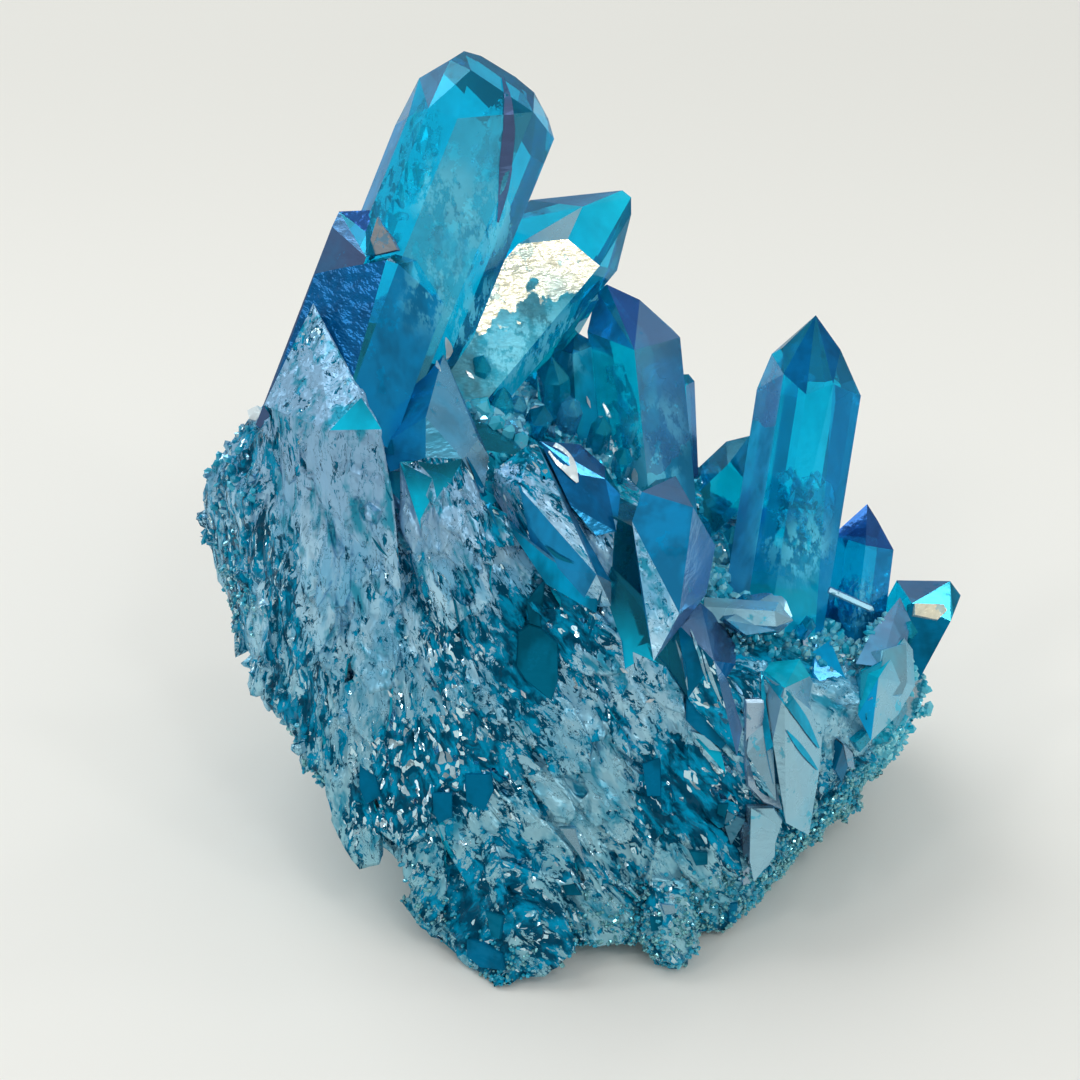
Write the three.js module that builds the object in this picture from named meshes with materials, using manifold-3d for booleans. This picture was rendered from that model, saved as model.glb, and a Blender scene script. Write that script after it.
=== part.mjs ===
// An aqua aura quartz cluster: one grown piece, with long six-sided crystals standing on a broken quartz root.
// Millimetres, +Z up. X runs to the right and Y away from someone who faces the broken front.
// The whole cluster is one solid. It rests on a flat cut under the root, and the origin is in the middle of that.
import * as THREE from "three";
import { ConvexGeometry } from "three/addons/geometries/ConvexGeometry.js";
import { mergeVertices } from "three/addons/utils/BufferGeometryUtils.js";
import Module from "manifold-3d";

const wasm = await Module();
wasm.setup();

const UP = new THREE.Vector3(0, 0, 1);
const RIGHT = new THREE.Vector3(1, 0, 0);
const AWAY = new THREE.Vector3(0, 1, 0);

// The long crystals. root and tip are points on the axis. Each corner is [sideways, deep, down]: its distance
// to the right of the axis, away from the front, and down from the tip. edges are where the long edges of the
// front half end, and run down to the root. tops are the other corners of the tip, which can be chipped.
const LONG_CRYSTALS = {
  tall_left: {
    root: [-16.8, 33, 50.5], tip: [-3.3, 47, 80.2], below: 8,
    edges: [[-7.5, 0.5, 10.7], [-6.5, -3, 9.3], [-4.9, -5.4, 7.7], [-1.9, -6.6, 7.5], [4.6, -5.2, 4.2], [7.5, -1, 5.9]],
    tops: [[-7, 0, 5.5], [-4.8, -2, 2.7], [-3.9, 0, 1.4], [-2.5, -4, 2.8], [-2.2, 0.3, 1.2], [1.7, 0, 1.8],
      [4, -0.4, 2.5], [6.2, -0.8, 4.3]],
  },
  gold: {
    root: [-7.3, 36, 51.4], tip: [7.8, 50, 63.9], below: 8,
    edges: [[-5.2, -2.6, 10], [-2.9, -4.6, 12.3], [4.6, -3.2, 8.6], [5.6, 0.3, 6.9]],
    tops: [[0.5, -3.95, 8.6], [-6.1, 0.5, 6.5], [-0.8, -2.6, 4.6], [0.6, 0.6, -0.3], [1.8, 0.4, -0.2], [3, 0.2, 1.3]],
  },
  grey: {
    root: [11.4, 33, 34.2], tip: [8.9, 44, 55.5], below: 6,
    edges: [[-4.5, -0.5, 4], [0, -4.5, 6.1], [4.9, -0.3, 5.6]],
    tops: [[-3.1, 0.5, 0], [-2, 1, -0.5], [1.2, 0.8, 1.4], [4.2, 0.2, 4.7]],
  },
  dark_small: {
    root: [4.5, 35, 38], tip: [3.6, 42, 51.5], below: 4,
    edges: [[-2.2, 0, 1.6], [-0.4, -2, 2.2], [2.2, -0.4, 1.4]],
    tops: [[0, 0, 0]],
  },
  peek: {
    root: [15.6, 42, 34], tip: [15, 45.5, 44.3], below: 4,
    edges: [[-1.4, 0, 1], [0.2, -1.4, 1], [1.2, 0, 0.9]],
    tops: [[-0.6, 0, 0.1], [0.6, 0, 0.1]],
  },
  lean_back: {
    root: [11.9, 38, 26.1], tip: [24.9, 44, 36.9], below: 3,
    edges: [[-3.4, 0.5, 3.8], [-1.8, -2.5, 5.4], [2.6, -2, 4.8]],
    tops: [[-2.2, 0, 1.6]],
  },
  tall_right: {
    root: [24.2, 27, 25.8], tip: [28.7, 41, 54], below: 10,
    edges: [[-5.4, 0.3, 8.4], [-3.3, -3.4, 6.2], [-0.9, -4.9, 7.8], [5.1, -0.8, 7.5]],
    tops: [[-4.5, -0.2, 4.6], [-3.6, -1.5, 3.7], [-0.6, 0.4, 0.1], [2.4, 0, 3.2], [1.8, -3.4, 6.5]],
  },
  purple: {
    root: [32.4, 28, 21.1], tip: [34.1, 35.5, 34.5], below: 8,
    edges: [[-3.2, 0, 3.6], [-0.1, -3.4, 4], [3.2, -0.6, 4.4]],
    tops: [[0, 0.3, 0], [1.2, 0, 1.5]],
  },
  far_right: {
    root: [34.8, 24, 15], tip: [42.6, 33, 25.9], below: 2,
    edges: [[-4.7, 0, 2], [-2.4, -3, 3.7], [2.1, -2, 3.3], [2, 0.5, 0.1]],
    tops: [[0.3, 0.5, -0.7]],
  },
  left_slim: {
    root: [-23.6, 30, 50.7], tip: [-15.9, 38, 68.2], below: 4,
    edges: [[-3.4, 0, 3.6], [0.9, -3.6, 4.8], [3.3, -0.5, 2.8]],
    tops: [[-3.3, 0.5, 2], [-0.1, -1.6, 2.7], [-0.2, 0.5, 0.6], [0.4, 0, 1.1]],
  },
  left_broken: {
    root: [-20.6, 24, 51.1], tip: [-14.5, 36, 63.8], below: 0,
    edges: [[-6.6, 0.5, 4.1], [1.6, -5.5, 1.9], [6.6, -1, 3.4]],
    tops: [[0.3, -5, 1.8], [1.4, -0.5, -1.4], [3.2, 0, -1.5], [3.9, -1, -0.7]],
  },
};

// The root of the cluster, as overlapping convex lumps, each given by its corners.
const ROOT_LUMPS = {
  left_and_middle: [
    [-4, 3, 1.5], [10, 3.5, 2.5], [-3, 9, 0], [12, 9, 0], [18, 14, 0], [18, 44, 0], [-6, 48, 0], [-12, 19, 0],
    [-20, 11, 14], [-27.5, 19, 21], [-28, 48, 24], [0, 56, 20],
    [-34.6, 34, 36], [-34.4, 34, 30.4], [-33.6, 32.5, 26.3], [-32, 31, 23.1], [-29.7, 28, 18.2],
    [-27, 26.5, 50.5], [-24.5, 24, 51],
    [-25, 30, 50], [-20, 34, 56], [-10, 30, 52], [-5, 24, 45], [6, 22, 43], [14, 22, 38],
    [-18, 48, 48], [2, 48, 42], [18, 44, 32],
  ],
  right: [
    [9, 3, 2.5], [19, 7, 1], [12, 9, 0], [24, 15, 0], [34, 33, 0], [28, 46, 0], [8, 48, 0],
    [16, 12, 30], [21, 13, 29], [29, 14, 24], [37, 20, 22], [40.5, 27, 18.5], [39.8, 26, 15.5],
    [38.5, 26, 10.5], [38, 38, 14], [16, 48, 30], [30, 40, 24],
  ],
  seam: [
    [4, 14, 26], [16, 11.5, 26.5], [7, 19.5, 38], [14, 15, 33], [10, 6, 9], [13, 6.5, 11], [9, 9.5, 19],
    [13, 8.5, 20], [10, 24, 25],
  ],
  overgrowth: [
    [-26.8, 24.6, 53.5], [-23.5, 21.8, 54], [-20, 18.6, 54.5], [-22, 30.5, 61.5], [-20, 26.5, 59], [-18.5, 23.5, 58], [-17, 20.5, 57],
    [-15, 18, 55], [-14, 16.5, 48], [-13.5, 16, 36.5], [-18, 16.5, 28.5], [-22, 19, 34],
    [-24.5, 22, 39.5], [-20, 20, 50.5], [-19, 17, 45], [-20.5, 34, 44.5], [-17.5, 30, 31.5],
  ],
  mid_plate: [
    [-13.5, 20, 50], [-7.5, 20.5, 50], [-4.5, 18.5, 44], [-4.5, 15.5, 37], [-7, 16, 41.5],
    [-10, 14.5, 32.5], [-12, 16, 41], [-13.5, 18, 44.5], [-9, 24, 40.5], [-9, 22, 32],
  ],
  left_boss: [
    [-28, 34, 48], [-30.5, 32, 45.5], [-34, 33, 40], [-35, 34, 35.5], [-34, 33, 28], [-30.5, 27, 33.5],
    [-29, 24.5, 42.5], [-25.5, 27, 49], [-25, 33, 49], [-26, 24.5, 45], [-30.5, 40, 38.5], [-32.5, 44, 24],
  ],
  left_foot: [
    [-14.3, 8.5, 3.8], [-12.3, 6.5, 1.8], [-10, 4.5, 1.2], [-7.4, 2.5, 0.4],
    [-7, 4, 4], [-4, -0.5, 0.5], [0.5, -0.5, 1.5], [3.5, 1, 4], [2, 4, 10.5], [-4, 5.5, 12], [-2, 1.5, 6],
    [-8, 5, 0], [-4, 1.5, 0], [0, 2, 0], [-2, 14, 0],
  ],
  right_foot: [
    [10, 3, 3.5], [11.5, 1.5, 2], [14, 1.5, 1.5], [16, 3, 3], [15, 5, 9.5], [11, 5, 9.5], [13, 2, 6.5],
    [12, 3, 0], [14.5, 3, 0], [13.5, 14, 0],
  ],
};

// Short and broken crystals of the front, which overgrow each other, by their corners.
const FRONT_CRYSTALS = {
  front_mid: [
    [9, 20, 43], [10, 23, 44.5], [11.5, 26.5, 43.5], [13.5, 26.5, 44], [15, 21, 44], [17.5, 23, 38],
    [13.5, 13, 37], [10, 15, 37], [16.5, 19, 35], [11, 10, 33.5], [12.5, 30, 31.5], [15.5, 30, 31.5],
  ],
  lozenge: [
    [0, 26, 48.5], [4, 30, 45.5], [6.5, 29, 43.5], [6.5, 26, 44], [4, 24.5, 45.5], [2.5, 23, 45.5],
    [8, 25.5, 42.5], [7.5, 20.5, 41.5], [5.5, 19, 42], [3, 20.5, 44.5], [5, 36, 34.5], [2, 34, 40],
  ],
  long_shard: [
    [-4.5, 23, 47], [-0.5, 25.5, 49], [3.5, 20.5, 43], [7, 17.5, 37.5], [7, 17, 35], [4, 17, 35],
    [-0.5, 18.5, 39], [-4.5, 21.5, 45], [-2, 20, 47], [5.5, 16, 39.5], [0.5, 27, 38.5], [5, 24, 32],
  ],
  blue_wedge: [
    [-9.5, 31, 55.5], [-15, 26, 51.5], [-15.5, 22, 50.5], [-14.5, 20.5, 48.5], [-11, 22.5, 53.5],
    [-11, 20, 50.5], [-9.5, 27, 54], [-8.5, 25, 52], [-6, 24, 50], [-5, 24, 48], [-5.5, 20.5, 46],
    [-7.5, 20.5, 50], [-11, 36, 47], [-10, 30, 45],
  ],
  dark_wedge: [
    [13.5, 15.5, 34], [16, 19.5, 33.5], [17.5, 19.5, 32], [21, 17, 27.5], [20.5, 13, 25.5],
    [19.5, 9.5, 22], [14.5, 10.5, 28.5], [14, 12.5, 31.5], [17, 12, 32], [17.5, 25, 24.5], [18.5, 16, 19],
  ],
  strip: [
    [21.5, 15, 27.5], [22.5, 15, 27.5], [23, 11.5, 24], [23.5, 8, 17.5], [21.5, 8.5, 18.5],
    [20.5, 10, 22], [22.5, 18, 17],
  ],
  pale_fan: [
    [22, 14.5, 28.5], [23, 17, 28], [26, 17.5, 28], [27, 16, 27], [28.5, 14.5, 22.5], [28, 11.5, 18],
    [27, 8, 13], [24.5, 7, 15.5], [23, 10, 23.5], [24, 11.5, 29], [26.5, 20, 15.5], [27, 24, 17.5],
  ],
  blade: [
    [27.5, 20.5, 26.5], [29.5, 22, 27], [31, 18.5, 24.5], [29.5, 15.5, 22], [28.5, 16.5, 23.5],
    [30.5, 26, 20],
  ],
  right_plate: [
    [32.5, 19.5, 25], [35.5, 22, 25], [37.5, 25, 25], [38.5, 25, 23.5], [38.5, 21.5, 21.5],
    [36.5, 18, 20.5], [33.5, 15, 19.5], [32, 15.5, 22.5], [34, 17, 26], [37, 28, 14.5],
  ],
  lavender: [
    [32, 20, 25.5], [34, 24.5, 26], [37.5, 30, 26.5], [38.5, 28, 25], [37.5, 23.5, 24],
    [34.5, 19.5, 25.5], [36, 32, 18],
  ],
  flat_lying: [
    [18, 21, 31.5], [18, 24, 30.5], [24, 25, 31], [25, 24, 30.5], [25.5, 22, 30], [24, 19, 30.5],
    [20.5, 17.5, 31], [18.5, 18, 32.5], [16, 22, 29.5], [23, 26, 24],
  ],
  low_facet: [
    [21, 7.5, 17], [23.5, 7, 15.5], [23.5, 6, 12], [21.5, 5.5, 9], [21, 6, 11.5], [23, 14, 7],
  ],
};

// Crystals of the back and sides: [compass direction they stand in, height of the foot, width, length, lean up],
// in degrees and mm. Direction 0 is the front, 90 the right and 180 the back.
const BACK_CRYSTALS = [
  [168, 30, 8, 15, 62], [196, 34, 7, 13, 55], [150, 24, 7.5, 12, 48], [220, 34, 6.5, 11, 50],
  [182, 18, 6.5, 11, 30], [205, 22, 6, 10, 25], [135, 16, 6, 10, 35], [160, 10, 5.5, 9, 12],
  [190, 8, 5, 8, 5], [236, 24, 5.5, 9, 30], [112, 12, 5, 8, 25], [125, 26, 6, 10, 55],
  [215, 12, 5, 8, 10], [248, 15, 4.5, 7, 15],
];

// Counts and sizes of the small growth, in mm.
const SLABS = { count: 18, length: [11, 19], width: [4, 7], rise: [0.9, 1.8] };
const SHARDS = { count: 92, length: [4, 10], width: [1.6, 3.6], rise: [0.5, 1.2] };
const PITS = { count: 24, length: [3, 7], width: [1, 2.4], rise: [0.5, 1] };
const DRUSE = { count: 78, width: [1.2, 2.8], length: [1, 2.2] };
const BACK_PLATES = 14;
const SEED = 20261;

function vec(p) {
  return new THREE.Vector3(p[0], p[1], p[2]);
}

// A convex solid from its corners.
function hull(corners) {
  const geometry = new ConvexGeometry(corners);
  geometry.deleteAttribute("normal");
  geometry.deleteAttribute("uv");
  const merged = mergeVertices(geometry, 1e-4);
  return new wasm.Manifold(
    new wasm.Mesh({
      numProp: 3,
      vertProperties: new Float32Array(merged.attributes.position.array),
      triVerts: new Uint32Array(merged.index.array),
    }),
  );
}

// One long crystal. Its back half mirrors the front edges through the axis.
function longCrystal({ root, tip, below, edges, tops }) {
  const axis = vec(tip).sub(vec(root));
  const length = axis.length() + below;
  axis.normalize();
  const sideways = RIGHT.clone().addScaledVector(axis, -RIGHT.dot(axis)).normalize();
  const deep = new THREE.Vector3().crossVectors(axis, sideways);
  const place = ([s, t, h]) =>
    vec(tip).addScaledVector(sideways, s).addScaledVector(deep, t).addScaledVector(axis, -h);
  const back = edges.filter((e) => e[1] < -1.2).map(([s, t, h]) => [-s, -t, h + 1]);
  const corners = tops.map(place);
  for (const edge of [...edges, ...back]) {
    corners.push(place(edge), place([edge[0], edge[1], length]));
  }
  return hull(corners);
}

// Seeded random numbers from 0 to 1.
function randomFrom(seed) {
  let state = seed;
  return () => {
    state = (state + 0x6d2b79f5) | 0;
    let t = Math.imul(state ^ (state >>> 15), 1 | state);
    t = (t + Math.imul(t ^ (t >>> 7), 61 | t)) ^ t;
    return ((t ^ (t >>> 14)) >>> 0) / 4294967296;
  };
}
const random = randomFrom(SEED);
const between = ([low, high]) => low + (high - low) * random();
const spread = (amount) => (random() * 2 - 1) * amount;

// The planes that bound a convex lump.
function planesOf(corners) {
  const position = new ConvexGeometry(corners).attributes.position;
  const planes = [];
  for (let i = 0; i < position.count; i += 3) {
    const triangle = new THREE.Triangle().setFromAttributeAndIndices(position, i, i + 1, i + 2);
    const plane = new THREE.Plane();
    planes.push(triangle.getPlane(plane));
  }
  return planes;
}

const lumpCorners = Object.values(ROOT_LUMPS).map((c) => c.map(vec));
const frontCorners = Object.values(FRONT_CRYSTALS).map((c) => c.map(vec));
const SKINS = [...lumpCorners, ...frontCorners].map(planesOf);

// Where a ray first meets the root: {point, normal}. It is null off the root, and on a front crystal, which
// stays clean.
function meet(origin, direction) {
  let nearest = null;
  for (const planes of SKINS) {
    let enter = -Infinity;
    let leave = Infinity;
    let face = null;
    for (const plane of planes) {
      const speed = plane.normal.dot(direction);
      const gap = plane.distanceToPoint(origin);
      if (Math.abs(speed) < 1e-9) {
        if (gap > 0) leave = -Infinity;
        continue;
      }
      const at = -gap / speed;
      if (speed < 0 && at > enter) {
        enter = at;
        face = plane;
      }
      if (speed > 0 && at < leave) leave = at;
    }
    if (face && enter < leave && enter > 0 && (!nearest || enter < nearest.far)) {
      nearest = { far: enter, normal: face.normal.clone(), rough: SKINS.indexOf(planes) < lumpCorners.length };
    }
  }
  if (!nearest || !nearest.rough) return null;
  return { point: origin.clone().addScaledVector(direction, nearest.far), normal: nearest.normal };
}

// The way the broken front is grained: upright on the left, and down to the right elsewhere.
function grain(x) {
  const turn = THREE.MathUtils.smoothstep(x, -16, 4);
  return new THREE.Vector3(0.1 + 0.65 * turn, 0, -1).normalize();
}

// A plate of quartz that lies along the grain on a face with this normal: sunk at its upper end, and broken
// off proud of the face at its lower end.
const PLATE = [
  [-0.5, 0.05, -0.15], [-0.36, -0.34, -0.15], [-0.28, 0.4, -0.15], [0.1, 0.5, 0.3], [0.02, -0.5, 0.5],
  [0.4, 0.34, 0.8], [0.5, -0.08, 1], [0.33, -0.4, 0.8], [0.4, 0.3, -1], [0.42, -0.3, -1], [0, 0, -1.5],
];
function plate(point, normal, along, { length, width, rise }) {
  const a = along.clone().applyAxisAngle(normal, spread(0.22)).addScaledVector(normal, -along.dot(normal)).normalize();
  const b = new THREE.Vector3().crossVectors(normal, a);
  const long = between(length);
  const wide = between(width) * (random() < 0.5 ? -1 : 1);
  const high = between(rise);
  return hull(
    PLATE.map(([i, j, k]) =>
      point.clone()
        .addScaledVector(a, (i + spread(0.06)) * long)
        .addScaledVector(b, (j + spread(0.08)) * wide)
        .addScaledVector(normal, k * high)),
  );
}

// A small pointed crystal that stands on the root.
function stub(point, axis, width, length) {
  const a = axis.clone().normalize();
  const b = new THREE.Vector3().crossVectors(a, Math.abs(a.z) < 0.9 ? UP : RIGHT).normalize();
  const c = new THREE.Vector3().crossVectors(a, b);
  const sides = width > 4 ? 6 : 5;
  const first = random() * Math.PI;
  const corners = [];
  for (let i = 0; i < sides; i++) {
    const round = first + (i * Math.PI * 2) / sides + spread(0.12);
    const out = b.clone().multiplyScalar(Math.cos(round)).addScaledVector(c, Math.sin(round));
    const shoulder = length - width * (0.55 + spread(0.12));
    corners.push(point.clone().addScaledVector(out, width / 2).addScaledVector(a, -width * 0.6));
    corners.push(point.clone().addScaledVector(out, width / 2).addScaledVector(a, Math.max(shoulder, 0.1)));
  }
  corners.push(point.clone().addScaledVector(a, length).addScaledVector(b, spread(width * 0.15)));
  return hull(corners);
}

// The level direction that a compass angle in degrees points to, from the middle of the cluster.
function compass(degrees) {
  const angle = THREE.MathUtils.degToRad(degrees);
  return new THREE.Vector3(Math.sin(angle), -Math.cos(angle), 0);
}
const MIDDLE = new THREE.Vector3(2, 28, 0);

// Where the root is met from outside, level, from a compass direction and at a height.
function meetFrom(degrees, height) {
  const out = compass(degrees);
  return meet(MIDDLE.clone().addScaledVector(out, 120).setZ(height), out.negate());
}

// Where the root is met from the front, at random inside a span of x and z.
function meetFront(x, z) {
  return meet(new THREE.Vector3(between(x), -60, between(z)), AWAY);
}

const growth = [];
const pits = [];
for (const [kind, x, z, list] of [
  [SLABS, [-26, 18], [10, 44], growth],
  [SHARDS, [-30, 34], [5, 50], growth],
  [PITS, [-20, 24], [5, 39], pits],
]) {
  for (let i = 0; i < kind.count; i++) {
    const at = meetFront(x, z);
    if (!at) continue;
    if (kind === PITS) at.normal.negate();
    list.push(plate(at.point, at.normal, grain(at.point.x), kind));
  }
}
for (let i = 0; i < BACK_PLATES; i++) {
  const at = meetFrom(between([215, 310]), between([14, 46]));
  if (at) growth.push(plate(at.point, at.normal, grain(-20), SHARDS));
}
for (const [degrees, height, width, length, lean] of BACK_CRYSTALS) {
  const at = meetFrom(degrees, height);
  const tilt = THREE.MathUtils.degToRad(lean);
  const axis = compass(degrees + spread(12)).multiplyScalar(Math.cos(tilt)).addScaledVector(UP, Math.sin(tilt));
  if (at) growth.push(stub(at.point, axis, width, length * 0.75));
}
for (let i = 0; i < DRUSE.count; i++) {
  const at = meetFrom(60 + 255 * random(), 3 + 44 * random());
  if (!at) continue;
  const axis = at.normal.clone().addScaledVector(UP, 0.3 + spread(0.3));
  growth.push(stub(at.point, axis, between(DRUSE.width), between(DRUSE.length)));
}

const solids = [
  ...lumpCorners.map(hull),
  ...frontCorners.map(hull),
  ...Object.values(LONG_CRYSTALS).map(longCrystal),
  ...growth,
];
const grown = wasm.Manifold.union(solids).subtract(wasm.Manifold.union(pits));

// The flat cut that the cluster rests on. Only the outer skin is kept, without closed hollows inside.
const whole = grown.trimByPlane([0, 0, 1], 0).decompose().sort((a, b) => b.volume() - a.volume())[0];
const box = whole.boundingBox();
const cluster = whole.translate([-(box.min[0] + box.max[0]) / 2, -(box.min[1] + box.max[1]) / 2, 0]);
function toGeometry(solid) {
  const mesh = solid.getMesh();
  const positions = new Float32Array(mesh.numVert * 3);
  for (let i = 0; i < mesh.numVert; i++) {
    positions.set(mesh.vertProperties.subarray(i * mesh.numProp, i * mesh.numProp + 3), i * 3);
  }
  return new THREE.BufferGeometry()
    .setAttribute("position", new THREE.BufferAttribute(positions, 3))
    .setIndex(new THREE.BufferAttribute(mesh.triVerts, 1));
}

const quartz = new THREE.Mesh(
  toGeometry(cluster),
  new THREE.MeshStandardMaterial({ color: 0x1f86b4, roughness: 0.2, metalness: 0.1 }),
);
quartz.name = "quartz_cluster";

const root = new THREE.Group();
root.add(quartz);
export default root;
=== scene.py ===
"""Looks of an aqua aura quartz cluster: clear blue crystals on a broken root under a thin pale film."""

import itertools
import math

import bpy
import numpy as np
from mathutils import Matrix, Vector
from mathutils.bvhtree import BVHTree
from numpy.linalg import norm


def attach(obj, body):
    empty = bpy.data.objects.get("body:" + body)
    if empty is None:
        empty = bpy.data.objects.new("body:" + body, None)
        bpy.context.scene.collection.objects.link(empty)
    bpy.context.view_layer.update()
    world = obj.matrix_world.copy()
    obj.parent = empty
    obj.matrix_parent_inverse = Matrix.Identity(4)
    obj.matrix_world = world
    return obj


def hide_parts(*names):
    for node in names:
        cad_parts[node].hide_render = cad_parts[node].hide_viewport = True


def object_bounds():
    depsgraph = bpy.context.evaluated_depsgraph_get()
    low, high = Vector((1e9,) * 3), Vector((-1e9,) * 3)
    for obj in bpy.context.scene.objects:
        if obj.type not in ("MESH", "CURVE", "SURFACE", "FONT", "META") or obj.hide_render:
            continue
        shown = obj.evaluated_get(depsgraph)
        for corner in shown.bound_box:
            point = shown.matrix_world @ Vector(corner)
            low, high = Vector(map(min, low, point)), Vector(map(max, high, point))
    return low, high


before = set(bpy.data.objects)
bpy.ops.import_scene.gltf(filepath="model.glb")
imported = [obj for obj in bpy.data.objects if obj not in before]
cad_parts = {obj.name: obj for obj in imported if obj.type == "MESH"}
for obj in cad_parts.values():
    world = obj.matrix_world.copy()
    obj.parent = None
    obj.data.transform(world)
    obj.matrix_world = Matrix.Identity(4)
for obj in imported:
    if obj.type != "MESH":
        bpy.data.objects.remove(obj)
cad_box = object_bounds()
scene = bpy.context.scene

# Lengths are in millimetres and turned to metres where meshes are made. SHIFT takes the part's frame to the
# one that the crystals' numbers use.
MM = 0.001
SHIFT = np.array([4.2215, 30.7729, 0.0])
BOX_LOW, BOX_HIGH = (np.array(corner) / MM for corner in cad_box)

# The camera: what it looks at and from how far, its tilt and width in degrees, and the size of the frame that
# spots are given in.
VIEW_TARGET = np.array([0.0, 24.0, 38.0])
VIEW_DISTANCE = 277.806
VIEW_DOWN = 35.0
VIEW_ANGLE = 22.0
VIEW_FRAME = 1080
VIEW_COS = math.cos(math.radians(VIEW_DOWN))
VIEW_SIN = math.sin(math.radians(VIEW_DOWN))
VIEW_FORWARD = np.array([0.0, VIEW_COS, -VIEW_SIN])
VIEW_UP = np.array([0.0, VIEW_SIN, VIEW_COS])
VIEW_PLACE = VIEW_TARGET - SHIFT - VIEW_FORWARD * VIEW_DISTANCE

# The large lamps: place, target and size in metres, power in watts, and colour.
LAMPS = {
    "window": ((-0.45, 0.35, 0.75), (0, 0, 0.03), 0.7, 3.6, (0.98, 0.99, 1.0)),
    "fill": ((0.35, -0.5, 0.7), (0, 0, 0.03), 0.6, 0.5, (0.95, 0.97, 1.0)),
}

# Small bright lamps, in metres, that the polished faces and broken edges mirror.
GLINTS = [
    (0.21, -0.405, 0.645), (0.585, 0.18, 0.53), (-0.37, -0.29, 0.58), (0.45, -0.35, 0.4), (0.46, 0.48, 0.31),
]
GLINT_TARGET = (0, 0, 0.04)
GLINT_SIZE = 0.10
GLINT_POWER = 0.28
GLINT_COLOUR = (1.0, 0.99, 0.96)

# How strong the studio's even light is, low down and overhead.
STUDIO_LOW = 0.26
STUDIO_HIGH = 0.62

# Sizes of the triangles of the shown mesh.
FRONT_EDGE = 0.75
BACK_EDGE = 1.5
CRYSTAL_EDGE = 2.0

# The broken plates of the root: how much longer than wide they are, and for both sizes the width, tilt, rise
# and seed.
STRETCH = 3.0
BIG_PLATES = (2.6, 0.08, 0.22, 1)
SMALL_PLATES = (1.0, 0.10, 0.07, 2)

# An edge of film, in mm, so low that no face reaches it.
NO_EDGE = -100.0

# Colours of the materials: gloss, the root's quartz, the ground between crystals with painted light on its
# shade, flakes, the pale film on the plates, high up, near the table and where it is thin, and the frost in
# the clear quartz.
GLOSS_BLUE = (0.25, 0.68, 1.0, 1)
ROOT_DARK = (0.0, 0.07, 0.14, 1)
ROOT_BLUE = (0.0, 0.33, 0.58, 1)
# Painted light: the ground between the long crystals is coloured brighter than the shade it lies in.
PAINTED_LIT_GROUND_DARK = (0.0, 0.30, 0.46, 1)
PAINTED_LIT_GROUND_BLUE = (0.03, 0.58, 0.78, 1)
SPARK_WHITE = (0.55, 0.80, 0.90, 1)
FILM_GREY = (0.17, 0.49, 0.74, 1)
FILM_PALE = (0.47, 0.77, 0.96, 1)
FILM_HIGH = (0.27, 0.50, 0.72, 1)
FILM_LOW = (0.20, 0.52, 0.56, 1)
FILM_THIN = (0.02, 0.30, 0.46, 1)
ROOT_INSIDE = (0.0, 0.36, 0.54, 1)
CLOUD_BLUE = (0.18, 0.78, 1.0, 1)

# The clear quartz: how it bends light, the colour it lets through, and how fast it takes up the rest.
QUARTZ_IOR = 1.54
ABSORPTION_COLOUR = (0.0, 0.84, 0.99, 1)
ABSORPTION_DENSITY = 115.0

# Where the pale film lies thicker (above 0) or is worn away (below 0) on the root: x, z, reach, amount. A
# patch with a fifth number holds only further back than it.
FILM_PATCHES = [
    (-20, 42, 7, 0.22), (-17, 31, 6, 0.2), (-19, 54, 6, 0.25), (-10, 45, 4, 0.25), (-13, 24, 4, 0.05),
    (-30, 38, 5, -0.12), (-30, 46, 4, -0.1), (-27, 24, 4, 0.0), (-10, 33, 2.6, -0.12), (-3, 39, 3, 0.12),
    (0, 32, 3, -0.5), (-1, 28, 2.4, -0.3), (4, 34, 3.5, -0.15), (9, 37, 4, 0.3), (11, 31, 3, 0.12),
    (-13, 19, 4.5, -0.3), (-7, 20, 4, -0.2), (5, 17, 5, 0.2), (3, 24, 3, 0.12), (14, 18, 4.5, -0.38),
    (12, 25, 2.5, 0.2), (17, 29, 3, -0.25), (-16, 10, 4, 0.1), (-4, 9, 4, -0.15), (14, 8, 3, 0.05),
    (-6, 3, 3, -0.2), (26, 24, 5, 0.2), (33, 21, 5, 0.2), (28, 12, 5, -0.1), (0, 46, 9, -0.4, 24),
    (23, 29, 7, -0.7, 17),
]

# The long crystals: root, tip and radius. Their faces stay flat and clear.
CRYSTALS = {
    "tall_left": ((-16.8, 33, 50.5), (-3.3, 47, 80.2), 9.2),
    "gold": ((-7.3, 36, 51.4), (7.8, 50, 63.9), 7.2),
    "grey": ((11.4, 33, 34.2), (8.9, 44, 55.5), 5.6),
    "dark_small": ((4.5, 35, 38), (3.6, 42, 51.5), 2.7),
    "peek": ((15.6, 42, 34), (15, 45.5, 44.3), 1.8),
    "lean_back": ((11.9, 38, 26.1), (24.9, 44, 36.9), 4.2),
    "tall_right": ((24.2, 27, 25.8), (28.7, 41, 54), 6.0),
    "purple": ((32.4, 28, 21.1), (34.1, 35.5, 34.5), 4.0),
    "far_right": ((34.8, 24, 15), (42.6, 33, 25.9), 5.2),
    "left_slim": ((-23.6, 30, 50.7), (-15.9, 38, 68.2), 4.2),
    "left_broken": ((-20.6, 24, 51.1), (-14.5, 36, 63.8), 7.4),
    "blue_wedge": ((-10.5, 23, 44.0), (-9.5, 29, 55.5), 5.5),
    "front_mid": ((13.0, 17, 30.0), (12.5, 26, 44.5), 5.6),
    "dark_wedge": ((19.0, 13, 22.0), (14.5, 18, 34.0), 4.2),
    "lozenge": ((6.0, 27, 37.0), (1.5, 27, 48.5), 5.0),
}

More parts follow.
